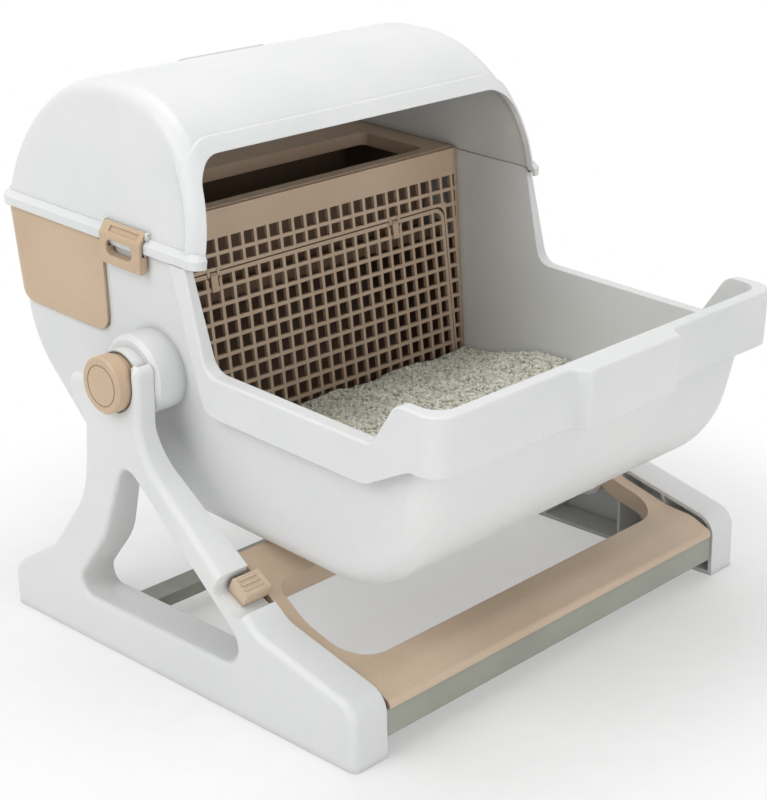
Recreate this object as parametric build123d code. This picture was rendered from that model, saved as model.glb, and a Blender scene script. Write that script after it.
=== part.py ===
from build123d import *
import math
import os

# Tilting litter box with a waste drawer. All sizes in millimetres.
# World frame: X to the right, Y to the rear, Z up, origin on the floor below the middle of the box.
# Tub, sieve, drawer and hood are drawn in the tub's frame: X, V to the rear and W up from the
# pivot axis. They are then pitched nose-down by rest_pitch about that axis.
# Side views of the stand are drawn from its front foot: run to the rear, level up.

# Driving dimensions: tub
tub_half_width = 216.8      # outside, level with the pivot
side_draft = 0.055          # each side leans out by this much per mm of height
tub_wall = 2.8
tub_depth = 136             # floor below the pivot
rim_height = 112            # hood rim above the pivot
tray_rim = 18               # side rim of the open tray
front_crest = 60            # top of the front lip
tub_reach = 338             # front wall ahead of the pivot, at the crest
front_lean = 0.165
nose_radius = 112           # front-bottom curve of the floor
heel_radius = 60            # curve where the rear slope leaves the floor
rear_radius = 110           # curve where it meets the rear wall
floor_back = 97             # the floor turns up this far behind the pivot
rear_foot = 203             # rear wall behind the pivot, where the slope meets it
rear_foot_height = -30
rear_lean = 0.1
edge_radius = 22            # long edges of the tub

# Driving dimensions: belt round the tray
belt_wall = 2.6
ledge_thickness = 3
belt_gap = 9                # belt ahead of the front wall
side_gap = 9                # belt outside the tub side, at the crest
belt_corner = 21
grip_reach = 14             # hand grip ahead of the belt
grip_half_width = 61

# Driving dimensions: stand
pivot_height = 272
pivot_back = 72             # pivot behind the middle of the box
front_foot = 219            # front foot ahead of the middle of the box
rest_pitch = 3
leg_gap = 14.8              # tub side to leg
leg_thickness = 38.4
leg_taper = 18.4            # the inner face leans away from the tub by this much
leg_wall = 4
leg_rounding = 7
rib_width = 3

# Driving dimensions: hood
hood_half_length = 138
hood_middle_back = 77.5     # middle of the hood behind the pivot
hood_rise = 126
hood_wall = 2.8
hood_draft = 0.202
hood_edge_radius = 16
entry_below_top = 44
entry_draft = 0.187
entry_band = 12             # width of the raised band round the way in
ledge_height = 8            # hood ledge above the tub rim

# Driving dimensions: sieve
sieve_pitch = 16.1
sieve_bar = 3.6
sieve_thickness = 4
sieve_lean = 9              # degrees, top to the rear
sieve_top_back = 46
flap_side_gap = 22.8        # tub side to flap
flap_pin_radius = 1.4

# Driving dimensions: waste drawer
drawer_front = 69           # nearest side of the drawer behind the pivot
drawer_back = 196.5
drawer_floor = 22
drawer_top = 100
drawer_wall = 2.2
drawer_corner = 20.5        # long rear edge of the drawer's floor
face_thickness = 2.9

# Driving dimensions: pivots and latches
spindle_radius = 24
cap_reach = 12              # cap outside the leg
clip_span = (4, 60)         # latches along V
clip_pin_radius = 0.9

# Fits
running_gap = 0.4
hood_gap = 0.3              # hood foot above the tub rim
slot_gap = 1.5              # drawer in its slot, all round
spindle_clearance = 0.08
clip_bore_clearance = 0.07
flap_bore_clearance = 0.06
aperture_gap = 0.8
aperture_corner = 10        # tighter than the flap's corner, which swings up through it

left = -1
right = 1
far = 400                   # longer than the object in any direction from the pivot


# ---- drawing helpers -------------------------------------------------------------------

def outline(corners):
    """Closed face from corners (a, b, radius) taken in order; a radius of 0 stays sharp."""
    count = len(corners)
    points = [Vector(a, b) for a, b, _ in corners]
    bends = []
    for index, (_, _, radius) in enumerate(corners):
        here = points[index]
        back = (points[index - 1] - here).normalized()
        ahead = (points[(index + 1) % count] - here).normalized()
        half_angle = math.radians(back.get_angle(ahead) / 2)
        reach = radius / math.tan(half_angle)
        depth = radius / math.sin(half_angle) - radius
        inward = (back + ahead).normalized()
        bends.append((here + back * reach, here + inward * depth, here + ahead * reach))
    edges = []
    for index, (start, middle, stop) in enumerate(bends):
        if corners[index][2]:
            edges.append(ThreePointArc(start, middle, stop))
        following = bends[(index + 1) % count][0]
        if (following - stop).length > 0.001:
            edges.append(Line(stop, following))
    return make_face(edges)


def symmetric(half_corners):
    """Corners of the right half, bottom to top, closed by their mirror image."""
    mirrored = [(-a, b, radius) for a, b, radius in reversed(half_corners)]
    return outline(half_corners + mirrored)


def rectangle(a_span, b_span):
    centre = Pos((a_span[0] + a_span[1]) / 2, (b_span[0] + b_span[1]) / 2)
    return centre * Rectangle(a_span[1] - a_span[0], b_span[1] - b_span[0])


def across(face, start, stop):
    """Side view (rearward, up) run sideways from x = start to x = stop."""
    return extrude(Plane.YZ.offset(start) * face, stop - start)


def along(face, start, stop):
    """Front view (sideways, up) run from front to rear."""
    return extrude(Plane.XZ.offset(-stop) * face, stop - start)


def upward(face, start, stop):
    """Plan view (sideways, rearward) run from a low to a high level."""
    return extrude(Plane.XY.offset(start) * face, stop - start)


def block(x_span, y_span, z_span):
    size = [span[1] - span[0] for span in (x_span, y_span, z_span)]
    middle = [(span[0] + span[1]) / 2 for span in (x_span, y_span, z_span)]
    return Pos(*middle) * Box(*size)


def cross_rod(radius, start, stop, back=0, up=0):
    """Cylinder lying along X."""
    return Pos((start + stop) / 2, back, up) * Rot(0, 90, 0) * Cylinder(radius, abs(stop - start))


def long_rod(radius, start, stop, sideways, up):
    """Cylinder lying front to rear."""
    middle = Pos(sideways, (start + stop) / 2, up)
    return middle * Rot(90, 0, 0) * Cylinder(radius, abs(stop - start))


def one_side(shape, side):
    """A shape drawn on the left, kept or mirrored to the right."""
    return shape if side == left else mirror(shape, about=Plane.YZ)


def both_sides(shape):
    return shape + mirror(shape, about=Plane.YZ)


def to_world(shape):
    """From the tub's frame to the world."""
    return Pos(0, pivot_back, pivot_height) * Rot(rest_pitch, 0, 0) * shape


def from_stand(face):
    return Pos(-front_foot, 0) * face


# ---- tub -------------------------------------------------------------------------------

body_top = rim_height + 18
rim_start = -49             # the hood rim begins here
rim_line = [
    (rim_start, rim_height, 6),
    (-77, tray_rim, 18),
    (-274, tray_rim, 12),
    (-299, front_crest, 14),
]


def tub_side(height):
    """Outer half width of the tub at a height from the pivot."""
    return tub_half_width + side_draft * height


def tub_body(grow=0):
    """Closed body of the tub's outside, grown or shrunk evenly."""
    floor_front = tub_reach - front_lean * (tub_depth + front_crest)
    profile = outline([
        (-tub_reach - front_lean * (body_top - front_crest), body_top, 0),
        (-floor_front, -tub_depth, nose_radius),
        (floor_back, -tub_depth, heel_radius),
        (rear_foot, rear_foot_height, rear_radius),
        (rear_foot + rear_lean * (body_top - rear_foot_height), body_top, 0),
    ])
    if grow:
        profile = offset(profile, grow, kind=Kind.INTERSECTION)
    front_view = symmetric([
        (tub_side(-far) + grow, -far, 0),
        (tub_side(far) + grow, far, 0),
    ])
    body = across(profile, -far, far) & along(front_view, -far, far)
    sides = body.faces().sort_by(Axis.X)
    long_edges = (sides[0].edges() + sides[-1].edges()).filter_by(
        lambda edge: edge.center().Z < body_top + grow - 1
    )
    return fillet(long_edges, edge_radius + grow)


def above_rim(grow=0):
    """Everything above the tub's rim line, or above that line lowered by grow."""
    corners = [(far, rim_height, 0)] + rim_line
    corners += [(-far, front_crest, 0), (-far, far, 0), (far, far, 0)]
    line = outline(corners)
    if grow:
        line = offset(line, grow, kind=Kind.INTERSECTION)
    return across(line, -far, far)


belt_half_width = tub_side(front_crest) + side_gap
belt_front = tub_reach + belt_gap
belt_top = rim_height - 5.4 # where the belt ends under the hood's skirt
belt_back = -31
belt_rounding = 2.6
belt_foot = [
    (-316, 8, 12),
    (-268, -19, 20),
    (-75, -19, 16),
    (belt_back, belt_top, 0),
]


def belt_plan(shrink=0):
    """Plan of the belt: straight sides, round front corners and the hand grip."""
    grip_foot = grip_half_width + 8
    half = [
        (grip_half_width, -belt_front - grip_reach, 7),
        (grip_foot, -belt_front, 8),
        (belt_half_width, -belt_front, belt_corner),
        (belt_half_width, 60, 0),
    ]
    face = symmetric(half)
    return offset(face, -shrink) if shrink else face


def is_belt_ridge(edge):
    """True for the edges between the rim surface and the belt's vertical outside."""
    middle = edge @ 0.5
    on_side = abs(abs(middle.X) - belt_half_width) < 0.01 and middle.Y < rim_start + 2
    on_front = middle.Y < -belt_front + belt_corner + 1 and abs(middle.Z - front_crest) < 0.01
    upright = abs((edge % 0.5).Z) > 0.999
    below_end = tray_rim - 1 < edge.center().Z < belt_top - 2
    return (on_side or on_front) and below_end and not upright


def make_belt():
    """Ledge and skirt that hang outside the tub all round the tray."""
    body = upward(belt_plan(), -far, belt_top) - above_rim()
    body = fillet(body.edges().filter_by(is_belt_ridge), belt_rounding)
    core = upward(belt_plan(belt_wall), -far, far) - above_rim(ledge_thickness)
    corners = [(-far, belt_foot[0][1], 0)] + belt_foot
    band = outline(corners + [(belt_back, far, 0), (-far, far, 0)])
    return (body - core) & across(band, -far, far)


def rim_plan(half_width, front, back, front_radius, back_radius):
    return symmetric([
        (half_width, front, front_radius),
        (half_width, back, back_radius),
    ])


flange_reach = 1.8          # flange outside the tub
flange_back = 221.7
flange_thickness = 3


def make_flange():
    """Narrow rim that the hood stands on, notched where the latches hang."""
    half = tub_side(rim_height) + flange_reach
    plan = rim_plan(half, rim_start, flange_back, 4, 24)
    rim = upward(plan, rim_height - flange_thickness, rim_height)
    notch_span = (clip_span[0] - 2, clip_span[1] + 6)
    notch = block((-far, -tub_side(rim_height)), notch_span, (0, far))
    return rim - both_sides(notch)


leg_inner = tub_half_width + leg_gap
leg_outer = leg_inner + leg_thickness
leg_inner_top = leg_inner + leg_taper
cap_radius = spindle_radius + 2
neck_radius = spindle_radius + 3.3
boss_radius = neck_radius + 9.7
bore_floor = tub_side(0) + 2.8
neck_end = leg_outer - 8.6


def make_boss():
    """Hub on the tub's left side: wide root, narrow neck and the pivot's bore."""
    root_end = leg_inner_top - 0.7
    root = cross_rod(boss_radius, -root_end, -tub_side(0) + tub_wall)
    root = chamfer(root.edges().sort_by(Axis.X)[0], 4)
    hub = root + cross_rod(neck_radius, -neck_end, -root_end + 1)
    hub -= cross_rod(spindle_radius + spindle_clearance, -far, -bore_floor)
    return hub - cross_rod(neck_radius - 1.5, -far, -neck_end + 3)


slot_span = (drawer_front - slot_gap, drawer_back + slot_gap)
slot_level = (drawer_floor - slot_gap, drawer_top + slot_gap)


def make_tub_shell(inside):
    shell = tub_body() + make_belt() + make_flange()
    catch = block((catch_edge, -tub_side(rim_height) + 5), clip_span, catch_level)
    shell += both_sides(make_boss() + catch)
    shell -= above_rim()
    shell -= inside
    slot = outline([
        (slot_span[0], slot_level[0], 3),
        (slot_span[1], slot_level[0], drawer_corner + slot_gap),
        (slot_span[1], slot_level[1], 3),
        (slot_span[0], slot_level[1], 3),
    ])
    return shell - across(slot, -far, -tub_side(0) + 16)


# ---- sieve -----------------------------------------------------------------------------

sieve_plane = Plane(
    origin=(0, sieve_top_back, rim_height + 1.7),
    x_dir=(1, 0, 0),
    z_dir=(0, -math.cos(math.radians(sieve_lean)), math.sin(math.radians(sieve_lean))),
)
sieve_foot = -(rim_height + tub_depth + 10) / math.cos(math.radians(sieve_lean))
plate_foot = -27            # solid strip along the top of the panel
first_bar = plate_foot - sieve_pitch + sieve_bar / 2
sieve_rim = 4.5             # solid margin where the panel meets the tub
hinge_up = plate_foot - 2 * sieve_pitch - 0.6
flap_half_width = tub_half_width - flap_side_gap
flap_top = hinge_up + 2
flap_foot = sieve_foot + 29
flap_rim = 4.4
knuckle_at = 7.5 * sieve_pitch
lug_half_width = 1.6
lug_at = 6                  # lugs either side of the knuckle's middle
knuckle_half_width = lug_at - lug_half_width - 0.3
hinge_depth = -sieve_thickness / 2


def bars(x_span, u_span, top_bar):
    """Square lattice of bars in the panel's plane, clipped to a rectangle."""
    x_middle = (x_span[0] + x_span[1]) / 2
    u_middle = (u_span[0] + u_span[1]) / 2
    columns = int(far / sieve_pitch)
    lattice = [
        Pos(column * sieve_pitch, u_middle) * Rectangle(sieve_bar, u_span[1] - u_span[0])
        for column in range(-columns, columns + 1)
        if x_span[0] < column * sieve_pitch < x_span[1]
    ]
    level = top_bar
    while level > u_span[0]:
        lattice.append(Pos(x_middle, level) * Rectangle(x_span[1] - x_span[0], sieve_bar))
        level -= sieve_pitch
    return Sketch() + lattice


def make_sieve_panel(inside):
    """Fixed lattice wall with the opening that the flap closes."""
    half = tub_side(rim_height)
    aperture = flap_half_width + aperture_gap
    sheet = rectangle((-half, half), (plate_foot, 0))
    sheet += bars((-half, half), (sieve_foot, plate_foot), first_bar)
    sheet += rectangle((-aperture - 3, aperture + 3), (flap_foot - 12, flap_top + 4.6))
    sheet += rectangle((-half, half), (sieve_foot, flap_foot - 8))
    sheet -= symmetric([
        (aperture, flap_foot - aperture_gap, 4),
        (aperture, flap_top + 1.2, aperture_corner),
    ])
    slab = extrude(sieve_plane * sheet, -sieve_thickness) & inside
    whole = extrude(sieve_plane * rectangle((-half, half), (sieve_foot, 0)), -sieve_thickness)
    slab += whole & (inside - tub_body(-tub_wall - sieve_rim))
    bore = cross_rod(flap_pin_radius, -far, far, 0, hinge_depth)
    lug_span = (-lug_half_width, lug_half_width)
    lug = block(lug_span, (0, 5.4), (-sieve_thickness, 0.4))
    lug += cross_rod(flap_pin_radius + 1.2, *lug_span, 0, hinge_depth)
    for side in (left, right):
        for shift in (-lug_at, lug_at):
            slab += sieve_plane * (Pos(side * knuckle_at + shift, hinge_up) * lug)
    return slab - sieve_plane * (Pos(0, hinge_up) * bore)


def make_flap():
    """Lattice flap, hung from the knuckles along its top bar."""
    face = symmetric([
        (flap_half_width, flap_foot, 3),
        (flap_half_width, flap_top, 13),
    ])
    hollow = symmetric([
        (flap_half_width - flap_rim, flap_foot + flap_rim, 1),
        (flap_half_width - flap_rim, flap_top - 4, 9),
    ])
    top_bar = first_bar - 2 * sieve_pitch
    lattice = bars((-flap_half_width, flap_half_width), (flap_foot, flap_top), top_bar)
    flap = extrude(sieve_plane * ((face - hollow) + (lattice & face)), -sieve_thickness)
    pocket_half = lug_at + lug_half_width + 0.3
    pocket = block((-pocket_half, pocket_half), (-3.6, 6), (-far, far))
    knuckle_span = (-knuckle_half_width, knuckle_half_width)
    knuckle = block(knuckle_span, (-16, 0), (-sieve_thickness, 1.4))
    knuckle += cross_rod(flap_pin_radius + 1, *knuckle_span, 0, hinge_depth)
    bore = cross_rod(flap_pin_radius + flap_bore_clearance, -far, far, 0, hinge_depth)
    for side in (left, right):
        place = Pos(side * knuckle_at, hinge_up)
        flap -= sieve_plane * (place * pocket)
        flap += sieve_plane * (place * knuckle)
    return flap - sieve_plane * (Pos(0, hinge_up) * bore)


def make_flap_pin(side):
    reach = lug_at + lug_half_width
    pin = cross_rod(flap_pin_radius, -reach, reach, 0, hinge_depth)
    return sieve_plane * (Pos(side * knuckle_at, hinge_up) * pin)


collar_top = rim_height + 3
collar_thickness = 3.5
collar_half_width = tub_half_width + 5.2
collar_back = 203
mouth_span = (62, 150)      # way down to the drawer
mouth_half_width = tub_half_width - 28.8
chute_wall = 2.5


def make_collar(inside):
    """Frame over the waste side, with a short chute round its mouth."""
    plan = symmetric([
        (collar_half_width, sieve_top_back - 1, 0),
        (collar_half_width, collar_back, 14),
    ])
    mouth = symmetric([
        (mouth_half_width, mouth_span[0], 8),
        (mouth_half_width, mouth_span[1], 8),
    ])
    collar = upward(plan, collar_top - collar_thickness, collar_top) & inside
    collar += upward(offset(mouth, chute_wall), slot_level[1], collar_top)
    collar -= upward(mouth, 0, far)
    sheet = sieve_plane * Rectangle(2 * far, 2 * far)
    return collar - extrude(sheet, far) - extrude(sheet, -sieve_thickness)


shelf_front = 58
shelf_thickness = 3
shelf_rail = 12


def make_shelf(inside):
    """Shelf that carries the drawer, lightened by windows, with a rail along its front."""
    top = drawer_floor - running_gap
    shelf = block((-far, far), (shelf_front, far), (top - shelf_thickness, top))
    spacing = 0.36 * tub_half_width
    for column in range(-2, 3):
        window = RectangleRounded(0.7 * spacing, 90, 10)
        shelf -= upward(Pos(column * spacing, 130) * window, 0, 40)
    rail_span = (shelf_front, shelf_front + shelf_thickness)
    rail = block((-far, far), rail_span, (top - shelf_thickness, top + shelf_rail))
    return (shelf + rail) & inside


liner_wall = 1.6
liner_gap = 0.3             # liner behind the sieve
liner_top = drawer_floor - running_gap - shelf_thickness - 2 * liner_gap


def make_liner(inside):
    """Thin lining of the well behind the sieve, up to the shelf."""
    skin = inside - tub_body(-tub_wall - liner_wall)
    skin &= block((-far, far), (-far, far), (-far, liner_top))
    sheet = sieve_plane * Rectangle(2 * far, 2 * far)
    return skin - extrude(sheet, far) - extrude(sheet, -sieve_thickness - liner_gap)


# ---- waste drawer ----------------------------------------------------------------------

drawer_end = tub_half_width - 11.8
face_span = (drawer_front - 3, drawer_back + 15.5)
face_level = (drawer_floor - 7, drawer_top + 6)
face_corner = 38            # the cover's low rear corner


def make_drawer_box():
    plan = outline([
        (-far, drawer_front, 0),
        (drawer_end, drawer_front, 8),
        (drawer_end, drawer_back, 8),
        (-far, drawer_back, 0),
    ])
    section = outline([
        (drawer_front, drawer_floor, 3),
        (drawer_back, drawer_floor, drawer_corner),
        (drawer_back, far, 0),
        (drawer_front, far, 0),
    ])
    tray = upward(plan, drawer_floor, drawer_top) & tub_body(running_gap)
    tray &= across(section, -far, far)
    hollow = upward(offset(plan, -drawer_wall), drawer_floor + drawer_wall, far)
    hollow &= across(offset(section, -drawer_wall), -far, far)
    return tray - (hollow & tub_body(running_gap - drawer_wall))


def make_drawer_face():
    """Thin cover that follows the tub's side and its rear-left corner."""
    shape = outline([
        (face_span[0], face_level[0], 16),
        (face_span[1], face_level[0], face_corner),
        (face_span[1], face_level[1], 2),
        (face_span[0], face_level[1], 8),
    ])
    skin = tub_body(running_gap + face_thickness) - tub_body(running_gap)
    return skin & across(shape, -far, -0.7 * tub_half_width)


# ---- hood ------------------------------------------------------------------------------

hood_foot = rim_height + hood_gap
hood_top = rim_height + 1 + hood_rise
hood_shoulder = min(hood_rise, hood_half_length - 12)
hood_draft_end = 40         # the drawn bodies reach down to this level
hood_half_width = tub_side(rim_height) - 0.5
ledge_level = (rim_height - 5, rim_height + ledge_height)
ledge_half_width = hood_half_width + 6.1
ledge_span = (-65, 225.5)
ledge_bevel = 5.4
ledge_lip = 3.3
entry_top = hood_top - entry_below_top
entry_corner = 30
band_thickness = 3


def hood_side(height):
    return hood_half_width + hood_draft * (ledge_level[1] - height)


def hood_profile(grow):
    """Side view of the barrel: upright walls, two wide shoulders and a short flat top."""
    reach = hood_half_length + grow
    front = hood_middle_back - reach
    back = hood_middle_back + reach
    return outline([
        (front, hood_draft_end, 0),
        (back, hood_draft_end, 0),
        (back, hood_top + grow, hood_shoulder + grow),
        (front, hood_top + grow, hood_shoulder + grow),
    ])


def hood_body(grow=0):
    """Closed half barrel with leaning ends and round end edges."""
    front_view = symmetric([
        (hood_side(-far) + grow, -far, 0),
        (hood_side(far) + grow, far, 0),
    ])
    body = across(hood_profile(grow), -far, far) & along(front_view, -far, far)
    ends = body.faces().sort_by(Axis.X)
    end_edges = (ends[0].edges() + ends[-1].edges()).filter_by(
        lambda edge: edge.center().Z > hood_draft_end + 1
    )
    return fillet(end_edges, hood_edge_radius + grow)


def entry_prism(grow=0):
    """The way in: a leaning-sided opening with round top corners."""
    def half(level):
        return hood_half_width - 10 + entry_draft * (rim_height + 13 - level) + grow
    top = entry_top + grow
    face = symmetric([
        (half(hood_draft_end), hood_draft_end, 0),
        (half(top), top, entry_corner + grow),
    ])
    return along(face, -far, hood_middle_back - 20)


def make_entry_border():
    """Raised band round the way in."""
    skin = hood_body(band_thickness) - hood_body(-0.5)
    edge_zone = across(hood_profile(10) - hood_profile(-entry_band - 1), -far, far)
    band = skin & entry_prism(entry_band) & edge_zone
    return band & block((-far, far), (-far, hood_middle_back), (hood_foot, far))


def make_ledge():
    plan = rim_plan(ledge_half_width, *ledge_span, 11, 26)
    ledge = upward(plan, *ledge_level)
    ledge = chamfer(ledge.faces().sort_by(Axis.Z)[-1].edges(), ledge_bevel)
    return ledge - upward(offset(plan, -ledge_lip), 0, hood_foot)


pad_half_width = 57
pad_angles = (26, 58)       # from the rear wall up round the shoulder
pad_thickness = 6.5


def make_grip_pad():
    """Raised pad on the rear shoulder, where a hand steadies the hood."""
    reach = hood_shoulder + pad_thickness
    rays = [math.radians(angle) for angle in pad_angles]
    wedge = [(2 * reach * math.cos(ray), 2 * reach * math.sin(ray), 0) for ray in rays]
    sector = Circle(reach) & outline([(0, 0, 0)] + wedge)
    pad = across(sector, -pad_half_width, pad_half_width)
    pad = fillet(pad.edges().filter_by(GeomType.CIRCLE), 5)
    shoulder_back = hood_middle_back + hood_half_length - hood_shoulder
    return Pos(0, shoulder_back, hood_top - hood_shoulder) * pad


clip_axis = (-hood_half_width - 1.8, rim_height + 11.2)
clip_barrel = 2
clip_face = -hood_half_width - 9.8
clip_foot = rim_height - 24
clip_wall = 2.7
clip_hook = clip_face + 8.8 # inner face of the hook
hook_height = 15.5
catch_level = (clip_foot + hook_height + running_gap, ledge_level[0] - running_gap)
catch_edge = clip_hook - 3  # the tub's ridge reaches this far over the hook
lug_width = 3


def clip_rod(radius, extra):
    return long_rod(radius, clip_span[0] - extra, clip_span[1] + extra, *clip_axis)


def make_clip_lugs():
    root = -hood_half_width + 4.5
    lug = outline([
        (clip_axis[0] - 2.2, ledge_level[1] - 1, 0),
        (root, ledge_level[1] - 1, 0),
        (root, clip_axis[1] + 2.2, 0),
        (clip_axis[0] - 2.2, clip_axis[1] + 2.2, 2),
    ])
    front = clip_span[0] - running_gap
    back = clip_span[1] + running_gap
    return along(lug, front - lug_width, front) + along(lug, back, back + lug_width)


def make_hood_shell():
    shell = hood_body() - block((-far, far), (-far, far), (-far, hood_foot))
    shell += make_ledge()
    shell += make_grip_pad()
    shell += both_sides(make_clip_lugs())
    shell -= hood_body(-hood_wall)
    shell += make_entry_border()
    shell -= entry_prism()
    return shell - both_sides(clip_rod(clip_pin_radius, running_gap + lug_width))


def make_clip():
    """Left latch: hinge barrel, slanted cover, outer wall and the hook under the tub's ridge."""
    inner = clip_face + clip_wall
    crest = Vector(clip_axis[0] - 1.6, clip_axis[1] + 1.3)
    slant = Vector(clip_face, rim_height + 3.5) - crest
    section = outline([
        (crest.X, crest.Y, 0),
        (clip_face, rim_height + 3.5, 4),
        (clip_face, clip_foot, 1),
        (clip_hook - 3, clip_foot, 0),
        (clip_hook, clip_foot + 3, 0),
        (clip_hook, clip_foot + hook_height, 0.8),
        (inner, clip_foot + hook_height, 0),
        (inner, rim_height + 2.6, 0),
        (clip_axis[0] + 0.9, clip_axis[1] - 0.6, 0),
    ])
    clip = along(section, *clip_span) + clip_rod(clip_barrel, 0)
    middle = (clip_span[0] + clip_span[1]) / 2
    slot = rectangle((middle - 17, middle + 19), (clip_foot + 9, clip_foot + 23))
    slot = fillet(slot.vertices(), 6)
    clip -= across(slot, -far, 0)
    inward = Vector(-slant.Y, slant.X).normalized()
    recess = [crest + slant * 0.22 - inward * 2, crest + slant * 0.22 + inward * 1.1]
    recess += [crest + slant * 0.72 + inward * 1.1, crest + slant * 0.72 - inward * 2]
    clip -= along(outline([(point.X, point.Y, 0) for point in recess]), middle - 22, middle + 17)
    return clip - clip_rod(clip_pin_radius + clip_bore_clearance, 1)


# ---- stand -----------------------------------------------------------------------------

pivot_run = front_foot + pivot_back
leg_outline = [
    (0, 0, 0),
    (0, 59, 22),
    (116.5, 87, 40),
    (260.5, pivot_height - 60, 60),
    (257, pivot_height + 19, 8),
    (291, pivot_height + 19, 10),
    (315, pivot_height - 0.5, 8),
    (357, pivot_height - 6, 8),
    (354, pivot_height - 32, 14),
    (337, pivot_height - 46, 14),
    (346, 152, 100),
    (402, 82.5, 60),
    (470, 41, 26),
    (470, 0, 0),
]
leg_window = [
    (109.5, 45.5, 20),
    (285, pivot_height - 72.3, 14),
    (320.8, 112.5, 90),
    (376.6, 45.5, 14),
]
rib_runs = (62, 116, 214, 262, 330, 384, 430)
tab_section = [(159, 122, 2), (141, 111, 2), (147, 98, 2), (166, 108, 2)]
tab_notch = [(158, 133, 0), (170, 110.1, 5), (137, 92.7, 8), (120, 118, 0)]
front_bar = ((2, 20), (18, 44))         # run, level
rear_bar = ((318, 344), (20, 32))
bar_wall = 3
socket_depth = 15


def cradle_cut(radius, start, stop):
    """Round-bottomed slot, open at the top, about the pivot axis."""
    slot = cross_rod(radius, start, stop, pivot_back, pivot_height)
    return slot + block(
        (min(start, stop), max(start, stop)),
        (pivot_back - radius, pivot_back + radius),
        (pivot_height, far),
    )


def leg_cavity():
    """Hollow in the leg's inner side, with its ribs, cradle and sockets left standing."""
    face = offset(outline(leg_outline), -leg_wall)
    face -= offset(outline(leg_window), leg_wall)
    face -= Pos(pivot_run, pivot_height) * Circle(neck_radius + 6)
    face -= offset(outline(tab_notch), rib_width)
    for run in rib_runs:
        face -= Pos(run, 100) * Rectangle(rib_width, 400)
    face -= Pos(300, pivot_height - 47) * Rectangle(100, rib_width)
    for run_span, level in (front_bar, rear_bar):
        face -= offset(rectangle(run_span, level), rib_width)
    return across(from_stand(face), -leg_outer + leg_wall, 0)


def outer_face(shape):
    return shape.faces().sort_by(Axis.X)[0]


def make_leg():
    """Left leg; the right one is its mirror image."""
    leg = across(from_stand(outline(leg_outline)), -leg_outer, -leg_inner)
    rims = outer_face(leg).edges().filter_by(lambda edge: edge.center().Z > 1)
    leg = fillet(rims, leg_rounding)
    leg -= across(from_stand(outline(leg_window)), -far, 0)
    leg = fillet(outer_face(leg).inner_wires()[0].edges(), 5)
    leg -= leg_cavity()
    taper = outline([
        (-leg_inner, 95, 0),
        (-leg_inner_top, pivot_height - 40, 0),
        (-leg_inner_top, far, 0),
        (0, far, 0),
        (0, 95, 0),
    ])
    leg -= along(taper, -far, far)
    leg -= cradle_cut(spindle_radius + 0.3, -far, 0)
    leg -= cradle_cut(neck_radius + 0.5, -leg_outer + 8, 0)
    leg -= cradle_cut(cap_radius + 1.6, -far, -leg_outer + 3)
    leg -= across(from_stand(outline(tab_notch)), -far, 0)
    for run_span, level in (front_bar, rear_bar):
        leg -= across(from_stand(rectangle(run_span, level)), -leg_inner - socket_depth, 0)
    return leg


def make_pivot_pin():
    """Left pin: round cap with a fine ring, hollow spindle."""
    cap_root = leg_outer - 2.6
    cap_face = leg_outer + cap_reach
    groove = (-cap_face - 1, -cap_face + 0.6)
    cap = cross_rod(cap_radius, -cap_face, -cap_root)
    cap = chamfer(cap.edges().sort_by(Axis.X)[0], 1.5)
    ring = cross_rod(cap_radius - 7, *groove) - cross_rod(cap_radius - 8, *groove)
    spindle = cross_rod(spindle_radius, -cap_root - 1, -bore_floor - 1.4)
    spindle -= cross_rod(spindle_radius - 4, -cap_root + 3, -bore_floor)
    return Pos(0, pivot_back, pivot_height) * (cap + spindle - ring)


frame_half_width = leg_inner - 3.6
frame_wall = 3
frame_side = 14             # width of the sloping side bars
step_span = (0, 49.5)
rest_bar_span = (151, 188)
tab_end = leg_inner + 24.4


def rest_level(run):
    """Underside of the tub, at rest, above a place on the stand."""
    pitch = math.radians(rest_pitch)
    behind = run - pivot_run - tub_depth * math.sin(pitch)
    return pivot_height + behind * math.tan(pitch) - tub_depth * math.cos(pitch)


def make_step_frame():
    """Front step, rest bar and the two sloping sides, as one open-bottomed moulding."""
    crest_level = rest_level(rest_bar_span[1]) - running_gap
    profile = [
        (0, 44, 0),
        (0, 50, 5),
        (24, 60, 40),
        (54, 62.5, 30),
        (114, 79, 60),
        (rest_bar_span[1], crest_level, 4),
        (rest_bar_span[1] + 1, crest_level - 15, 0),
        (118, 61, 40),
        (64, 46, 0),
    ]
    half = frame_half_width
    plan = rectangle((-half, half), (0, 200))
    opening = symmetric([
        (half - frame_side, step_span[1], 35),
        (half - frame_side, rest_bar_span[0], 14),
    ])
    ring = plan - opening
    core_ring = offset(plan, -frame_wall) - offset(opening, frame_wall)
    to_stand = Pos(0, -front_foot)
    outside = outline(profile)
    frame = across(from_stand(outside), -half, half) & upward(to_stand * ring, 0, far)
    hollow = across(from_stand(Pos(0, -frame_wall) * outside), -half, half)
    hollow += across(from_stand(Pos(0, -2 * frame_wall) * outside), -half, half)
    frame -= hollow & upward(to_stand * core_ring, 0, far)
    tab = across(from_stand(outline(tab_section)), -tab_end, -half + 0.5)
    top_start, top_stop = tab_section[0], tab_section[1]
    for step in (0.25, 0.5, 0.75):
        run = top_start[0] + step * (top_stop[0] - top_start[0])
        level = top_start[1] + step * (top_stop[1] - top_start[1])
        tab += cross_rod(1.3, -tab_end + 2, -half - 6, run - front_foot, level)
    return frame + both_sides(tab)


def hollow_bar(run_span, level):
    end = leg_inner + socket_depth
    y_span = (run_span[0] - front_foot, run_span[1] - front_foot)
    return block((-end, end), y_span, level), end - bar_wall, y_span


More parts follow.
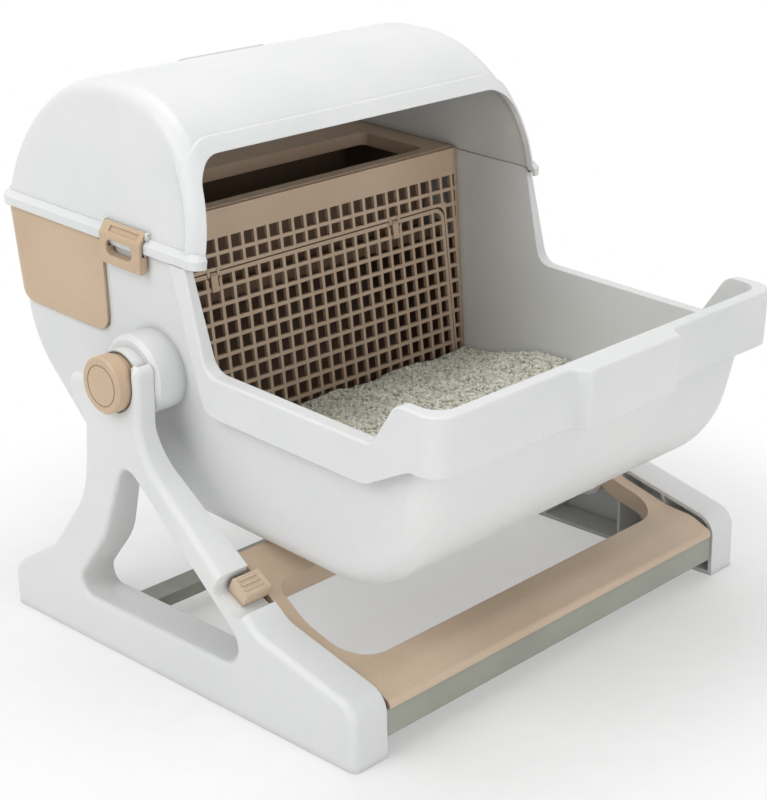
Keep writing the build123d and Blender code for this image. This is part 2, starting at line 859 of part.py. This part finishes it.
def make_front_bar():
    """Open-backed channel under the step, with two brackets."""
    low, high = front_bar[1]
    bar, inner_end, (front, _) = hollow_bar(*front_bar)
    inside = (low + bar_wall, high - bar_wall)
    bar -= block((-inner_end, inner_end), (front + bar_wall, far), inside)
    root = front_bar[0][1] - 1
    bracket = outline([(root, low, 0), (root, high, 0), (root + 26, high, 2), (root + 26, high - 6, 2)])
    bracket = across(from_stand(bracket), -leg_inner + 36, -leg_inner + 40)
    return bar + both_sides(bracket)


def make_rear_bar():
    """Channel open below."""
    high = rear_bar[1][1]
    bar, inner_end, (front, back) = hollow_bar(*rear_bar)
    return bar - block((-inner_end, inner_end), (front + bar_wall, back - bar_wall), (0, high - bar_wall))


# ---- the pieces ------------------------------------------------------------------------

tub_inside = tub_body(-tub_wall)
leg = make_leg()
pivot_pin = make_pivot_pin()
clip = make_clip()
clip_pin = clip_rod(clip_pin_radius, running_gap + lug_width)

pieces = {
    "leg_left": leg,
    "leg_right": one_side(leg, right),
    "step_frame": make_step_frame(),
    "cross_bar_front": make_front_bar(),
    "cross_bar_rear": make_rear_bar(),
    "pivot_pin_left": pivot_pin,
    "pivot_pin_right": one_side(pivot_pin, right),
    "tub_shell": to_world(make_tub_shell(tub_inside)),
    "sieve_panel": to_world(make_sieve_panel(tub_inside)),
    "sieve_flap": to_world(make_flap()),
    "flap_pin_left": to_world(make_flap_pin(left)),
    "flap_pin_right": to_world(make_flap_pin(right)),
    "sieve_collar": to_world(make_collar(tub_inside)),
    "drawer_shelf": to_world(make_shelf(tub_inside)),
    "well_liner": to_world(make_liner(tub_inside)),
    "waste_drawer_box": to_world(make_drawer_box()),
    "waste_drawer_face": to_world(make_drawer_face()),
    "hood_shell": to_world(make_hood_shell()),
    "clip_left": to_world(clip),
    "clip_right": to_world(one_side(clip, right)),
    "clip_pin_left": to_world(clip_pin),
    "clip_pin_right": to_world(one_side(clip_pin, right)),
}

os.makedirs("parts", exist_ok=True)
for name, shape in pieces.items():
    export_step(shape, f"parts/{name}.step")
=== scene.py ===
import math
import bpy
import numpy as np
from mathutils import Matrix, Vector


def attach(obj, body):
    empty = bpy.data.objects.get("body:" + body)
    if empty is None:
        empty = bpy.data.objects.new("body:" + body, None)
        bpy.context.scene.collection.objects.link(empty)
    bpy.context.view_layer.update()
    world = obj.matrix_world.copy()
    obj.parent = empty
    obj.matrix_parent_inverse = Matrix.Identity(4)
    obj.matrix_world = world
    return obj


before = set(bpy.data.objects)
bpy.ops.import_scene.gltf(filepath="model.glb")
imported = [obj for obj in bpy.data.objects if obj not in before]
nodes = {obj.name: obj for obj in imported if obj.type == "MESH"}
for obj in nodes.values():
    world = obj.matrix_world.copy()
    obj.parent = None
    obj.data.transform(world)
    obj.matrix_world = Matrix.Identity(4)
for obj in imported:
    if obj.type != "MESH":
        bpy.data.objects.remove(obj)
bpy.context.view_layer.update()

scene = bpy.context.scene
mm = 0.001
fullWhite = (1, 1, 1, 1)
fullBlack = (0, 0, 0, 1)
print("frame loaded:", len(nodes), "pieces")


def linear(hexText):
    parts = [int(hexText[i:i + 2], 16) / 255 for i in (1, 3, 5)]
    return tuple(p / 12.92 if p <= 0.04045 else ((p + 0.055) / 1.055) ** 2.4 for p in parts) + (1.0,)


# the stops of a colour ramp are given like any other setting
def addNode(tree, kind, settings=None, links=None):
    node = tree.nodes.new(kind)
    for key, value in (settings or {}).items():
        if key == "stops":
            marks = node.color_ramp.elements
            while len(marks) < len(value):
                marks.new(0.5)
            for mark, (place, colour) in zip(marks, value):
                mark.position = place
                mark.color = colour
        elif isinstance(key, str) and hasattr(node, key):
            setattr(node, key, value)
        else:
            node.inputs[key].default_value = value
    for key, (source, output) in (links or {}).items():
        tree.links.new(source.outputs[output], node.inputs[key])
    return node


def newMaterial(name):
    material = bpy.data.materials.new(name)
    material.use_nodes = True
    material.node_tree.nodes.clear()
    return material, material.node_tree


# polypropylene, injection moulded: milky, softly glossy, with a faint orange peel where the
# steel mould was textured, fine rubbed marks, and a little dust with painted shade in the corners
polypropylene = {
    "ior": 1.49, "specular": 0.5, "milkMm": 3, "milkColour": (1.0, 0.9, 0.8),
    "smoother": 0.06, "rougher": 0.1,  # how far the rubbed marks move the roughness
    "rubStretch": (1.0, 0.12, 1.0), "rubTurn": (0.3, 0.5, 0.4),
    "sinkHighMm": 0.6, "peelHighMm": 0.1,
}


def mouldedPolypropylene(name, look):
    material, tree = newMaterial(name)
    place = addNode(tree, "ShaderNodeTexCoord")
    own = {"Vector": (place, "Object")}
    cloud = addNode(tree, "ShaderNodeTexNoise", {"Scale": 1 / (look["cloudMm"] * mm), "Detail": 3.0}, own)
    body = addNode(tree, "ShaderNodeValToRGB",
                   {"stops": [(0.32, linear(look["deep"])), (0.68, linear(look["pale"]))]},
                   {"Fac": (cloud, "Fac")})
    # painted shade and dirt: ambient occlusion darkens the colour where two faces meet
    corner = addNode(tree, "ShaderNodeAmbientOcclusion", {"Distance": look["cornerMm"] * mm, "samples": 2})
    cornerShade = addNode(tree, "ShaderNodeValToRGB", {"stops": [(0.25, fullWhite), (0.8, fullBlack)]},
                          {"Fac": (corner, "AO")})
    grimeAndPaintedShade = addNode(tree, "ShaderNodeMix", {"data_type": "RGBA", 7: linear(look["corner"])},
                    {0: (cornerShade, "Color"), 6: (body, "Color")})
    # light speckle of the regrind in the pellets, 1 mm in life and drawn at 3 mm so that it shows
    speckle = addNode(tree, "ShaderNodeTexNoise",
                      {"Scale": 1 / (look["speckleMm"] * mm), "Detail": 6.0, "Roughness": 0.7}, own)
    speckleShade = addNode(tree, "ShaderNodeValToRGB", {"stops": [(0.35, fullBlack), (0.65, fullWhite)]},
                           {"Fac": (speckle, "Fac")})
    speckled = addNode(tree, "ShaderNodeMix",
                       {"data_type": "RGBA", "blend_type": "MULTIPLY", 0: look["speckle"]},
                       {6: (grimeAndPaintedShade, 2), 7: (speckleShade, "Color")})
    # rubbed marks: long thin streaks where hands and scoop have slid
    streak = addNode(tree, "ShaderNodeMapping",
                     {"Scale": polypropylene["rubStretch"], "Rotation": polypropylene["rubTurn"]}, own)
    rub = addNode(tree, "ShaderNodeTexNoise",
                  {"Scale": 1 / (look["rubMm"] * mm), "Detail": 8.0, "Roughness": 0.75},
                  {"Vector": (streak, "Vector")})
    rough = addNode(tree, "ShaderNodeMapRange",
                    {"From Min": 0.3, "From Max": 0.7,
                     "To Min": look["roughness"] - polypropylene["smoother"],
                     "To Max": look["roughness"] + polypropylene["rougher"]},
                    {"Value": (rub, "Fac")})
    # orange peel of the mould, 0.8 mm in life and drawn at 2.5 mm, over wide shallow sink marks
    peel = addNode(tree, "ShaderNodeTexNoise", {"Scale": 1 / (look["peelMm"] * mm), "Detail": 4.0}, own)
    sink = addNode(tree, "ShaderNodeTexNoise", {"Scale": 1 / (look["sinkMm"] * mm), "Detail": 1.0}, own)
    # the mould's edges are never sharp
    edge = addNode(tree, "ShaderNodeBevel", {"Radius": look["edgeMm"] * mm, "samples": 2})
    wave = addNode(tree, "ShaderNodeBump",
                   {"Strength": look["sinkDepth"], "Distance": polypropylene["sinkHighMm"] * mm},
                   {"Height": (sink, "Fac"), "Normal": (edge, "Normal")})
    bump = addNode(tree, "ShaderNodeBump",
                   {"Strength": look["peelDepth"], "Distance": polypropylene["peelHighMm"] * mm},
                   {"Height": (peel, "Fac"), "Normal": (wave, "Normal")})
    skin = addNode(tree, "ShaderNodeBsdfPrincipled",
                   {"IOR": polypropylene["ior"], "Specular IOR Level": polypropylene["specular"],
                    "Subsurface Weight": look["milk"], "Subsurface Scale": polypropylene["milkMm"] * mm,
                    "Subsurface Radius": polypropylene["milkColour"]},
                   {"Base Color": (speckled, 2), "Roughness": (rough, "Result"),
                    "Normal": (bump, "Normal")})
    addNode(tree, "ShaderNodeOutputMaterial", links={"Surface": (skin, "BSDF")})
    return material


# corner: the colour that painted shade and dirt darken to where two faces meet, within cornerMm
whiteLook = {
    "pale": "#E6E7E6", "deep": "#DFE1E1", "corner": "#BFC1BF", "roughness": 0.36,
    "cloudMm": 160, "cornerMm": 7, "speckleMm": 3, "speckle": 0.03, "rubMm": 22,
    "peelMm": 2.5, "peelDepth": 0.25, "sinkMm": 70, "sinkDepth": 0.35, "edgeMm": 0.8, "milk": 0.12,
}
tanLook = {
    "pale": "#D0B79B", "deep": "#C8AE91", "corner": "#96806A", "roughness": 0.42,
    "cloudMm": 120, "cornerMm": 6, "speckleMm": 3, "speckle": 0.06, "rubMm": 18,
    "peelMm": 2.5, "peelDepth": 0.3, "sinkMm": 60, "sinkDepth": 0.3, "edgeMm": 0.6, "milk": 0.05,
}
# painted light: a paler copy of the tan for the step frame, to match how brightly the step is lit
stepLitLook = dict(tanLook, pale="#D9C3AB", deep="#CFB89F", corner="#99836D")
# painted shade: a slightly darker copy of the tan for the sieve, with darker painted shade reaching further
# into its corners
sieveShadedLook = dict(tanLook, pale="#CDB59E", deep="#C3AA92", corner="#7D6955", cornerMm=9, roughness=0.5)
# painted shade: a darkened copy of the tan for the well behind the sieve, which lies in shade
linerShadeLook = dict(tanLook, pale="#7A6350", deep="#6E5846", corner="#4A3A2D", roughness=0.55)
greyLook = {
    "pale": "#A9AA9F", "deep": "#9D9E93", "corner": "#6C6B64", "roughness": 0.46,
    "cloudMm": 90, "cornerMm": 8, "speckleMm": 3, "speckle": 0.08, "rubMm": 18,
    "peelMm": 2.5, "peelDepth": 0.3, "sinkMm": 60, "sinkDepth": 0.25, "edgeMm": 0.6, "milk": 0.0,
}

white = mouldedPolypropylene("white_moulded_polypropylene", whiteLook)
tan = mouldedPolypropylene("tan_moulded_polypropylene", tanLook)
stepLitTan = mouldedPolypropylene("step_lit_polypropylene", stepLitLook)
sieveShadedTan = mouldedPolypropylene("sieve_shaded_polypropylene", sieveShadedLook)
linerPaintedShade = mouldedPolypropylene("liner_painted_shade_polypropylene", linerShadeLook)
grey = mouldedPolypropylene("grey_moulded_polypropylene", greyLook)


# steel wire, drawn through a die: bright, with fine rings that the die left
wire = {"ringsPerMm": 0.9, "smooth": 0.22, "dull": 0.4, "dark": "#B4B4B2", "bright": "#D2D2D0"}


def drawnSteel(name):
    material, tree = newMaterial(name)
    place = addNode(tree, "ShaderNodeTexCoord")
    # the rings are finer in life and drawn about 1 mm apart so that they show
    rings = addNode(tree, "ShaderNodeTexNoise", {"Scale": wire["ringsPerMm"] / mm, "Detail": 3.0},
                    {"Vector": (place, "Object")})
    rough = addNode(tree, "ShaderNodeMapRange", {"To Min": wire["smooth"], "To Max": wire["dull"]},
                    {"Value": (rings, "Fac")})
    shade = addNode(tree, "ShaderNodeValToRGB",
                    {"stops": [(0.3, linear(wire["dark"])), (0.7, linear(wire["bright"]))]},
                    {"Fac": (rings, "Fac")})
    skin = addNode(tree, "ShaderNodeBsdfPrincipled", {"Metallic": 1.0},
                   {"Base Color": (shade, "Color"), "Roughness": (rough, "Result")})
    addNode(tree, "ShaderNodeOutputMaterial", links={"Surface": (skin, "BSDF")})
    return material


steel = drawnSteel("drawn_steel_wire")

finishes = {
    white: ["leg_left", "leg_right", "tub_shell", "hood_shell"],
    tan: ["pivot_pin_left", "pivot_pin_right", "waste_drawer_face", "clip_left", "clip_right"],
    stepLitTan: ["step_frame"],
    # painted shade: the well liner is a dark skin laid where the well is in shade, and the shelf and drawer
    # box take the same darkened tan
    linerPaintedShade: ["well_liner", "drawer_shelf", "waste_drawer_box"],
    sieveShadedTan: ["sieve_panel", "sieve_flap", "sieve_collar", "flap_pin_left", "flap_pin_right"],
    grey: ["cross_bar_front", "cross_bar_rear"],
    steel: ["clip_pin_left", "clip_pin_right"],
}
for material, names in finishes.items():
    for name in names:
        slots = nodes[name].material_slots
        for slot in slots:
            slot.material = material
        if not slots:
            nodes[name].data.materials.append(material)
print("finishes on")


def meshObject(name, points, faces, material, smooth=True):
    mesh = bpy.data.meshes.new(name)
    mesh.from_pydata(points.tolist(), [], faces)
    mesh.materials.append(material)
    if smooth:
        mesh.polygons.foreach_set("use_smooth", [True] * len(mesh.polygons))
    mesh.update()
    thing = bpy.data.objects.new(name, mesh)
    scene.collection.objects.link(thing)
    return thing


# inside of the tray, in metres; v runs to the rear and w up from the pivot, pitched nose-down
tub = {"pitch": math.radians(3), "pivot": (0.0, 0.072, 0.272), "wall": 0.0028,
       "halfWidth": 0.2168, "draft": 0.055, "draftDepth": 0.085,  # the sides draw in below the pivot
       "noseRadius": 0.112, "noseBack": -0.2107, "noseUp": -0.024, "corner": 0.0192,
       "sieveBack": 0.046, "sieveTop": 0.1137, "sieveLean": math.radians(9)}


def fromTub(x, v, w):
    c, s = math.cos(tub["pitch"]), math.sin(tub["pitch"])
    return np.stack([x, tub["pivot"][1] + v * c - w * s, tub["pivot"][2] + v * s + w * c], axis=-1)


# clay litter: crushed and dried clay grains, dull and pale, with dark and cream ones mixed in
litter = {
    "sieveLevel": -0.094, "frontLevel": -0.074, "riseEnd": 0.38,  # it climbs from the sieve
    "fallStart": 0.75, "fall": 0.006,  # and drops a little at the front
    "length": 0.32, "gap": 0.0006, "sieveGap": 0.0012, "depth": 0.012, "rows": 110, "columns": 150,
    "broadHeaps": 0.0026, "slantHeaps": 0.0017, "smallHeaps": 0.0009,
    "seed": 11, "grains": 15000, "grainSize": (0.0011, 0.0024),
    "spreadAcross": (-0.985, 0.985), "spreadAlong": (0.012, 0.985), "lift": (-0.0006, 0.0016),
    "squash": (0.65, 1.2), "crush": (0.82, 1.12), "toneMix": (1.6, 1.5),
    "cellMm": 3.2, "dustMm": 1.2, "dust": 0.35, "dustHighMm": 0.5, "roughness": 0.92, "ior": 1.5,
    "tones": [(0.0, "#8B8A7E"), (0.12, "#B8B7AA"), (0.4, "#DEDED1"), (0.8, "#EEEDE1"), (1.0, "#FAF5E8")],
}


# heaps about 270, 120 and 50 mm long, as radians per metre
def litterWaves(x, v):
    waves = litter["broadHeaps"] * np.sin(x * 23 + 1.3) * np.sin(v * 31 + 0.4)
    waves += litter["slantHeaps"] * np.sin(x * 51 - v * 37 + 2.1)
    return waves + litter["smallHeaps"] * np.sin(x * 113 + v * 91) * np.cos(v * 127 - x * 40)


def litterLevel(along, x):
    rise = np.clip(along / litter["riseEnd"], 0, 1)
    rise = rise * rise * (3 - 2 * rise)
    fall = np.clip((along - litter["fallStart"]) / (1 - litter["fallStart"]), 0, 1) ** 2
    level = litter["sieveLevel"] + (litter["frontLevel"] - litter["sieveLevel"]) * rise
    return level - litter["fall"] * fall + litterWaves(x, along * litter["length"])


def litterSpan(w):
    back = tub["sieveBack"] - (tub["sieveTop"] - w) * math.tan(tub["sieveLean"]) - litter["sieveGap"]
    inner = tub["noseRadius"] - tub["wall"] - litter["gap"]
    front = tub["noseBack"] - np.sqrt(np.maximum(inner ** 2 - (w - tub["noseUp"]) ** 2, 0))
    return back, front


# across runs -1 to 1 between the side walls, along 0 at the sieve to 1 at the front
def litterPoint(across, along, drop=0.0):
    half = tub["halfWidth"] - tub["draft"] * tub["draftDepth"] - tub["wall"] - litter["gap"]
    w = litterLevel(along, across * half) - drop
    back, front = litterSpan(w)
    v = back + (front - back) * along
    corner = tub["corner"]
    reach = np.clip(corner - (v - front), 0, corner)
    half = half - drop * tub["draft"] - (corner - np.sqrt(corner ** 2 - reach ** 2))
    return fromTub(across * half, v, w)


def clayLitter(name, ownTone):
    material, tree = newMaterial(name)
    place = addNode(tree, "ShaderNodeTexCoord")
    own = {"Vector": (place, "Object")}
    # each loose grain has a tone of its own, and the bed below takes one from each of its cells
    if ownTone:
        tone, output = addNode(tree, "ShaderNodeAttribute", {"attribute_name": "tone"}), "Fac"
    else:
        cells = addNode(tree, "ShaderNodeTexVoronoi", {"Scale": 1 / (litter["cellMm"] * mm)}, own)
        tone = addNode(tree, "ShaderNodeSeparateColor", links={"Color": (cells, "Color")})
        output = "Red"
    shade = addNode(tree, "ShaderNodeValToRGB",
                    {"stops": [(share, linear(colour)) for share, colour in litter["tones"]]},
                    {"Fac": (tone, output)})
    # clay dust is far finer in life and drawn at 1.2 mm so that it shows
    dust = addNode(tree, "ShaderNodeTexNoise", {"Scale": 1 / (litter["dustMm"] * mm), "Detail": 5.0}, own)
    dusty = addNode(tree, "ShaderNodeMix",
                    {"data_type": "RGBA", "blend_type": "OVERLAY", 0: litter["dust"]},
                    {6: (shade, "Color"), 7: (dust, "Color")})
    bump = addNode(tree, "ShaderNodeBump", {"Strength": 0.6, "Distance": litter["dustHighMm"] * mm},
                   {"Height": (dust, "Fac")})
    skin = addNode(tree, "ShaderNodeBsdfPrincipled",
                   {"Roughness": litter["roughness"], "IOR": litter["ior"]},
                   {"Base Color": (dusty, 2), "Normal": (bump, "Normal")})
    addNode(tree, "ShaderNodeOutputMaterial", links={"Surface": (skin, "BSDF")})
    return material


def makeLitterBed():
    rows, columns = litter["rows"], litter["columns"]
    across, along = np.meshgrid(np.linspace(-1, 1, columns), np.linspace(0, 1, rows))
    top = litterPoint(across.ravel(), along.ravel())
    bottom = litterPoint(across.ravel(), along.ravel(), litter["depth"])
    under = rows * columns
    faces = []
    for r in range(rows - 1):
        for k in range(columns - 1):
            a = r * columns + k
            faces.append((a, a + columns, a + columns + 1, a + 1))
            faces.append((under + a, under + a + 1, under + a + columns + 1, under + a + columns))
    rim = list(range(columns))
    rim += [r * columns + columns - 1 for r in range(1, rows)]
    rim += [(rows - 1) * columns + k for k in range(columns - 2, -1, -1)]
    rim += [r * columns for r in range(rows - 2, 0, -1)]
    for a, b in zip(rim, rim[1:] + rim[:1]):
        faces.append((a, b, under + b, under + a))
    bed = meshObject("litter_bed", np.concatenate([top, bottom]), faces, clayLitter("clay_litter_bed", False))
    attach(bed, "tub")


# one grain before it is crushed: twelve corners and twenty faces
def makeBall():
    golden = (1 + math.sqrt(5)) / 2
    corners = np.array([(-1, golden, 0), (1, golden, 0), (-1, -golden, 0), (1, -golden, 0),
                        (0, -1, golden), (0, 1, golden), (0, -1, -golden), (0, 1, -golden),
                        (golden, 0, -1), (golden, 0, 1), (-golden, 0, -1), (-golden, 0, 1)])
    faces = np.array([(0, 11, 5), (0, 5, 1), (0, 1, 7), (0, 7, 10), (0, 10, 11), (1, 5, 9), (5, 11, 4),
                      (11, 10, 2), (10, 7, 6), (7, 1, 8), (3, 9, 4), (3, 4, 2), (3, 2, 6), (3, 6, 8),
                      (3, 8, 9), (4, 9, 5), (2, 4, 11), (6, 2, 10), (8, 6, 7), (9, 8, 1)])
    return corners / np.linalg.norm(corners[0]), faces


def makeLitterGrains():
    ball, ballFaces = makeBall()
    count, corners = litter["grains"], len(ball)
    draw = np.random.default_rng(litter["seed"])
    across = draw.uniform(*litter["spreadAcross"], count)
    along = draw.uniform(*litter["spreadAlong"], count)
    middle = litterPoint(across, along)
    middle[:, 2] += draw.uniform(*litter["lift"], count)
    size = draw.uniform(*litter["grainSize"], count)[:, None] * draw.uniform(*litter["squash"], (count, 3))
    turn = draw.normal(size=(count, 4))
    turn /= np.linalg.norm(turn, axis=1, keepdims=True)
    q, x, y, z = turn.T
    spin = np.stack([
        np.stack([1 - 2 * (y * y + z * z), 2 * (x * y - q * z), 2 * (x * z + q * y)], -1),
        np.stack([2 * (x * y + q * z), 1 - 2 * (x * x + z * z), 2 * (y * z - q * x)], -1),
        np.stack([2 * (x * z - q * y), 2 * (y * z + q * x), 1 - 2 * (x * x + y * y)], -1)], 1)
    rough = ball[None] * draw.uniform(*litter["crush"], (count, corners, 1)) * size[:, None, :]
    points = (np.einsum("nij,nkj->nki", spin, rough) + middle[:, None, :]).reshape(-1, 3)
    faces = (ballFaces[None] + corners * np.arange(count)[:, None, None]).reshape(-1, 3)
    grains = meshObject("litter_grains", points, faces.tolist(), clayLitter("clay_litter_grains", True),
                        smooth=False)
    tones = np.repeat(draw.beta(*litter["toneMix"], count), corners)
    grains.data.attributes.new("tone", "FLOAT", "POINT").data.foreach_set("value", tones.astype(np.float32))
    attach(grains, "tub")


makeLitterBed()
makeLitterGrains()
print("litter in")


# studio: a white sweep under three soft boxes, at the left, above and in front; lengths in metres
studio = {
    "ambient": 0.44, "aim": (0, 0, 0.22),
    "lamps": [("softbox_left", (-2.0, 0.3, 1.8), 2.0, 25),  # place, width and watts
              ("softbox_top", (0.2, 0.3, 2.6), 1.8, 23),
              ("softbox_front", (-0.4, -2.7, 0.6), 1.8, 20)],
    "sweep": 6.0, "sides": 64, "below": 0.0005, "fibreMm": 25,
    "paperDeep": "#F1F1F0", "paperPale": "#F4F4F3", "lift": 0.35, "fadeFrom": 0.34, "fadeTo": 0.62,
}


# 1 where the camera sees a surface directly, in a mirror or through glass
def seenDirectly(tree):
    path = addNode(tree, "ShaderNodeLightPath")
    seen = addNode(tree, "ShaderNodeMath", {"operation": "MAXIMUM"},
                   {0: (path, "Is Camera Ray"), 1: (path, "Is Glossy Ray")})
    return addNode(tree, "ShaderNodeMath", {"operation": "MAXIMUM"},
                   {0: (seen, "Value"), 1: (path, "Is Transmission Ray")})


def makeRoom():
    world = bpy.data.worlds.new("white_room")
    scene.world = world
    world.use_nodes = True
    tree = world.node_tree
    tree.nodes.clear()
    seen = seenDirectly(tree)
    room = addNode(tree, "ShaderNodeBackground", {"Color": fullWhite, "Strength": studio["ambient"]})
    backdrop = addNode(tree, "ShaderNodeBackground", {"Color": fullWhite, "Strength": 1.0})
    both = addNode(tree, "ShaderNodeMixShader",
                   links={0: (seen, "Value"), 1: (room, "Background"), 2: (backdrop, "Background")})
    addNode(tree, "ShaderNodeOutputWorld", links={"Surface": (both, "Shader")})


def makeLamps():
    for name, place, width, watts in studio["lamps"]:
        lamp = bpy.data.lights.new(name, "AREA")
        lamp.shape = "DISK"
        lamp.size = width
        lamp.energy = watts
        thing = bpy.data.objects.new(name, lamp)
        thing.location = place
        aim = Vector(studio["aim"]) - Vector(place)
        thing.rotation_euler = aim.to_track_quat("-Z", "Y").to_euler()
        scene.collection.objects.link(thing)


# paper, pressed from pulp: matt and near white, with a faint cloud of fibre
def whitePaper(name):
    material, tree = newMaterial(name)
    place = addNode(tree, "ShaderNodeTexCoord")
    # the fibre is far finer in life and drawn at 25 mm so that it shows
    fibre = addNode(tree, "ShaderNodeTexNoise", {"Scale": 1 / (studio["fibreMm"] * mm), "Detail": 4.0},
                    {"Vector": (place, "Object")})
    shade = addNode(tree, "ShaderNodeValToRGB",
                    {"stops": [(0.3, linear(studio["paperDeep"])), (0.7, linear(studio["paperPale"]))]},
                    {"Fac": (fibre, "Fac")})
    paper = addNode(tree, "ShaderNodeBsdfDiffuse", links={"Color": (shade, "Color")})
    # the sweep burns out to white away from the object and keeps its shadow beneath it
    away = addNode(tree, "ShaderNodeVectorMath", {"operation": "LENGTH"}, {0: (place, "Object")})
    fade = addNode(tree, "ShaderNodeMapRange",
                   {"interpolation_type": "SMOOTHSTEP", "From Min": studio["fadeFrom"],
                    "From Max": studio["fadeTo"], "To Min": studio["lift"]},
                   {"Value": (away, "Value")})
    burnt = addNode(tree, "ShaderNodeMath", {"operation": "MULTIPLY"},
                    {0: (seenDirectly(tree), "Value"), 1: (fade, "Result")})
    glow = addNode(tree, "ShaderNodeEmission", {"Color": fullWhite, "Strength": 1.0})
    both = addNode(tree, "ShaderNodeMixShader",
                   links={0: (burnt, "Value"), 1: (paper, "BSDF"), 2: (glow, "Emission")})
    addNode(tree, "ShaderNodeOutputMaterial", links={"Surface": (both, "Shader")})
    return material


def makeFloor():
    turns = [side * math.tau / studio["sides"] for side in range(studio["sides"])]
    ring = np.array([(studio["sweep"] * math.cos(turn), studio["sweep"] * math.sin(turn), -studio["below"])
                     for turn in turns])
    floor = meshObject("floor", ring, [tuple(range(studio["sides"]))], whitePaper("white_paper_sweep"))


makeRoom()
makeLamps()
makeFloor()
print("studio lit")


# the photograph's own viewpoint: metres, and millimetres for the lens and its sensor
photoView = {"place": (-1.18688, -1.16224, 0.82483), "right": (0.69721, -0.71668, -0.01646),
             "up": (0.26391, 0.23526, 0.93542), "lens": 83.66, "sensor": 36, "near": 0.05, "far": 50}


def makeCamera():
    data = bpy.data.cameras.new("photo_camera")
    data.lens = photoView["lens"]
    data.sensor_width = photoView["sensor"]
    data.clip_start = photoView["near"]
    data.clip_end = photoView["far"]
    camera = bpy.data.objects.new("photo_camera", data)
    right = Vector(photoView["right"]).normalized()
    up = Vector(photoView["up"]).normalized()
    turn = Matrix((right, up, right.cross(up))).transposed().to_4x4()
    camera.matrix_world = Matrix.Translation(photoView["place"]) @ turn
    scene.collection.objects.link(camera)
    scene.camera = camera


makeCamera()
scene.view_settings.view_transform = "Standard"
print("camera set")

bpy.context.view_layer.update()
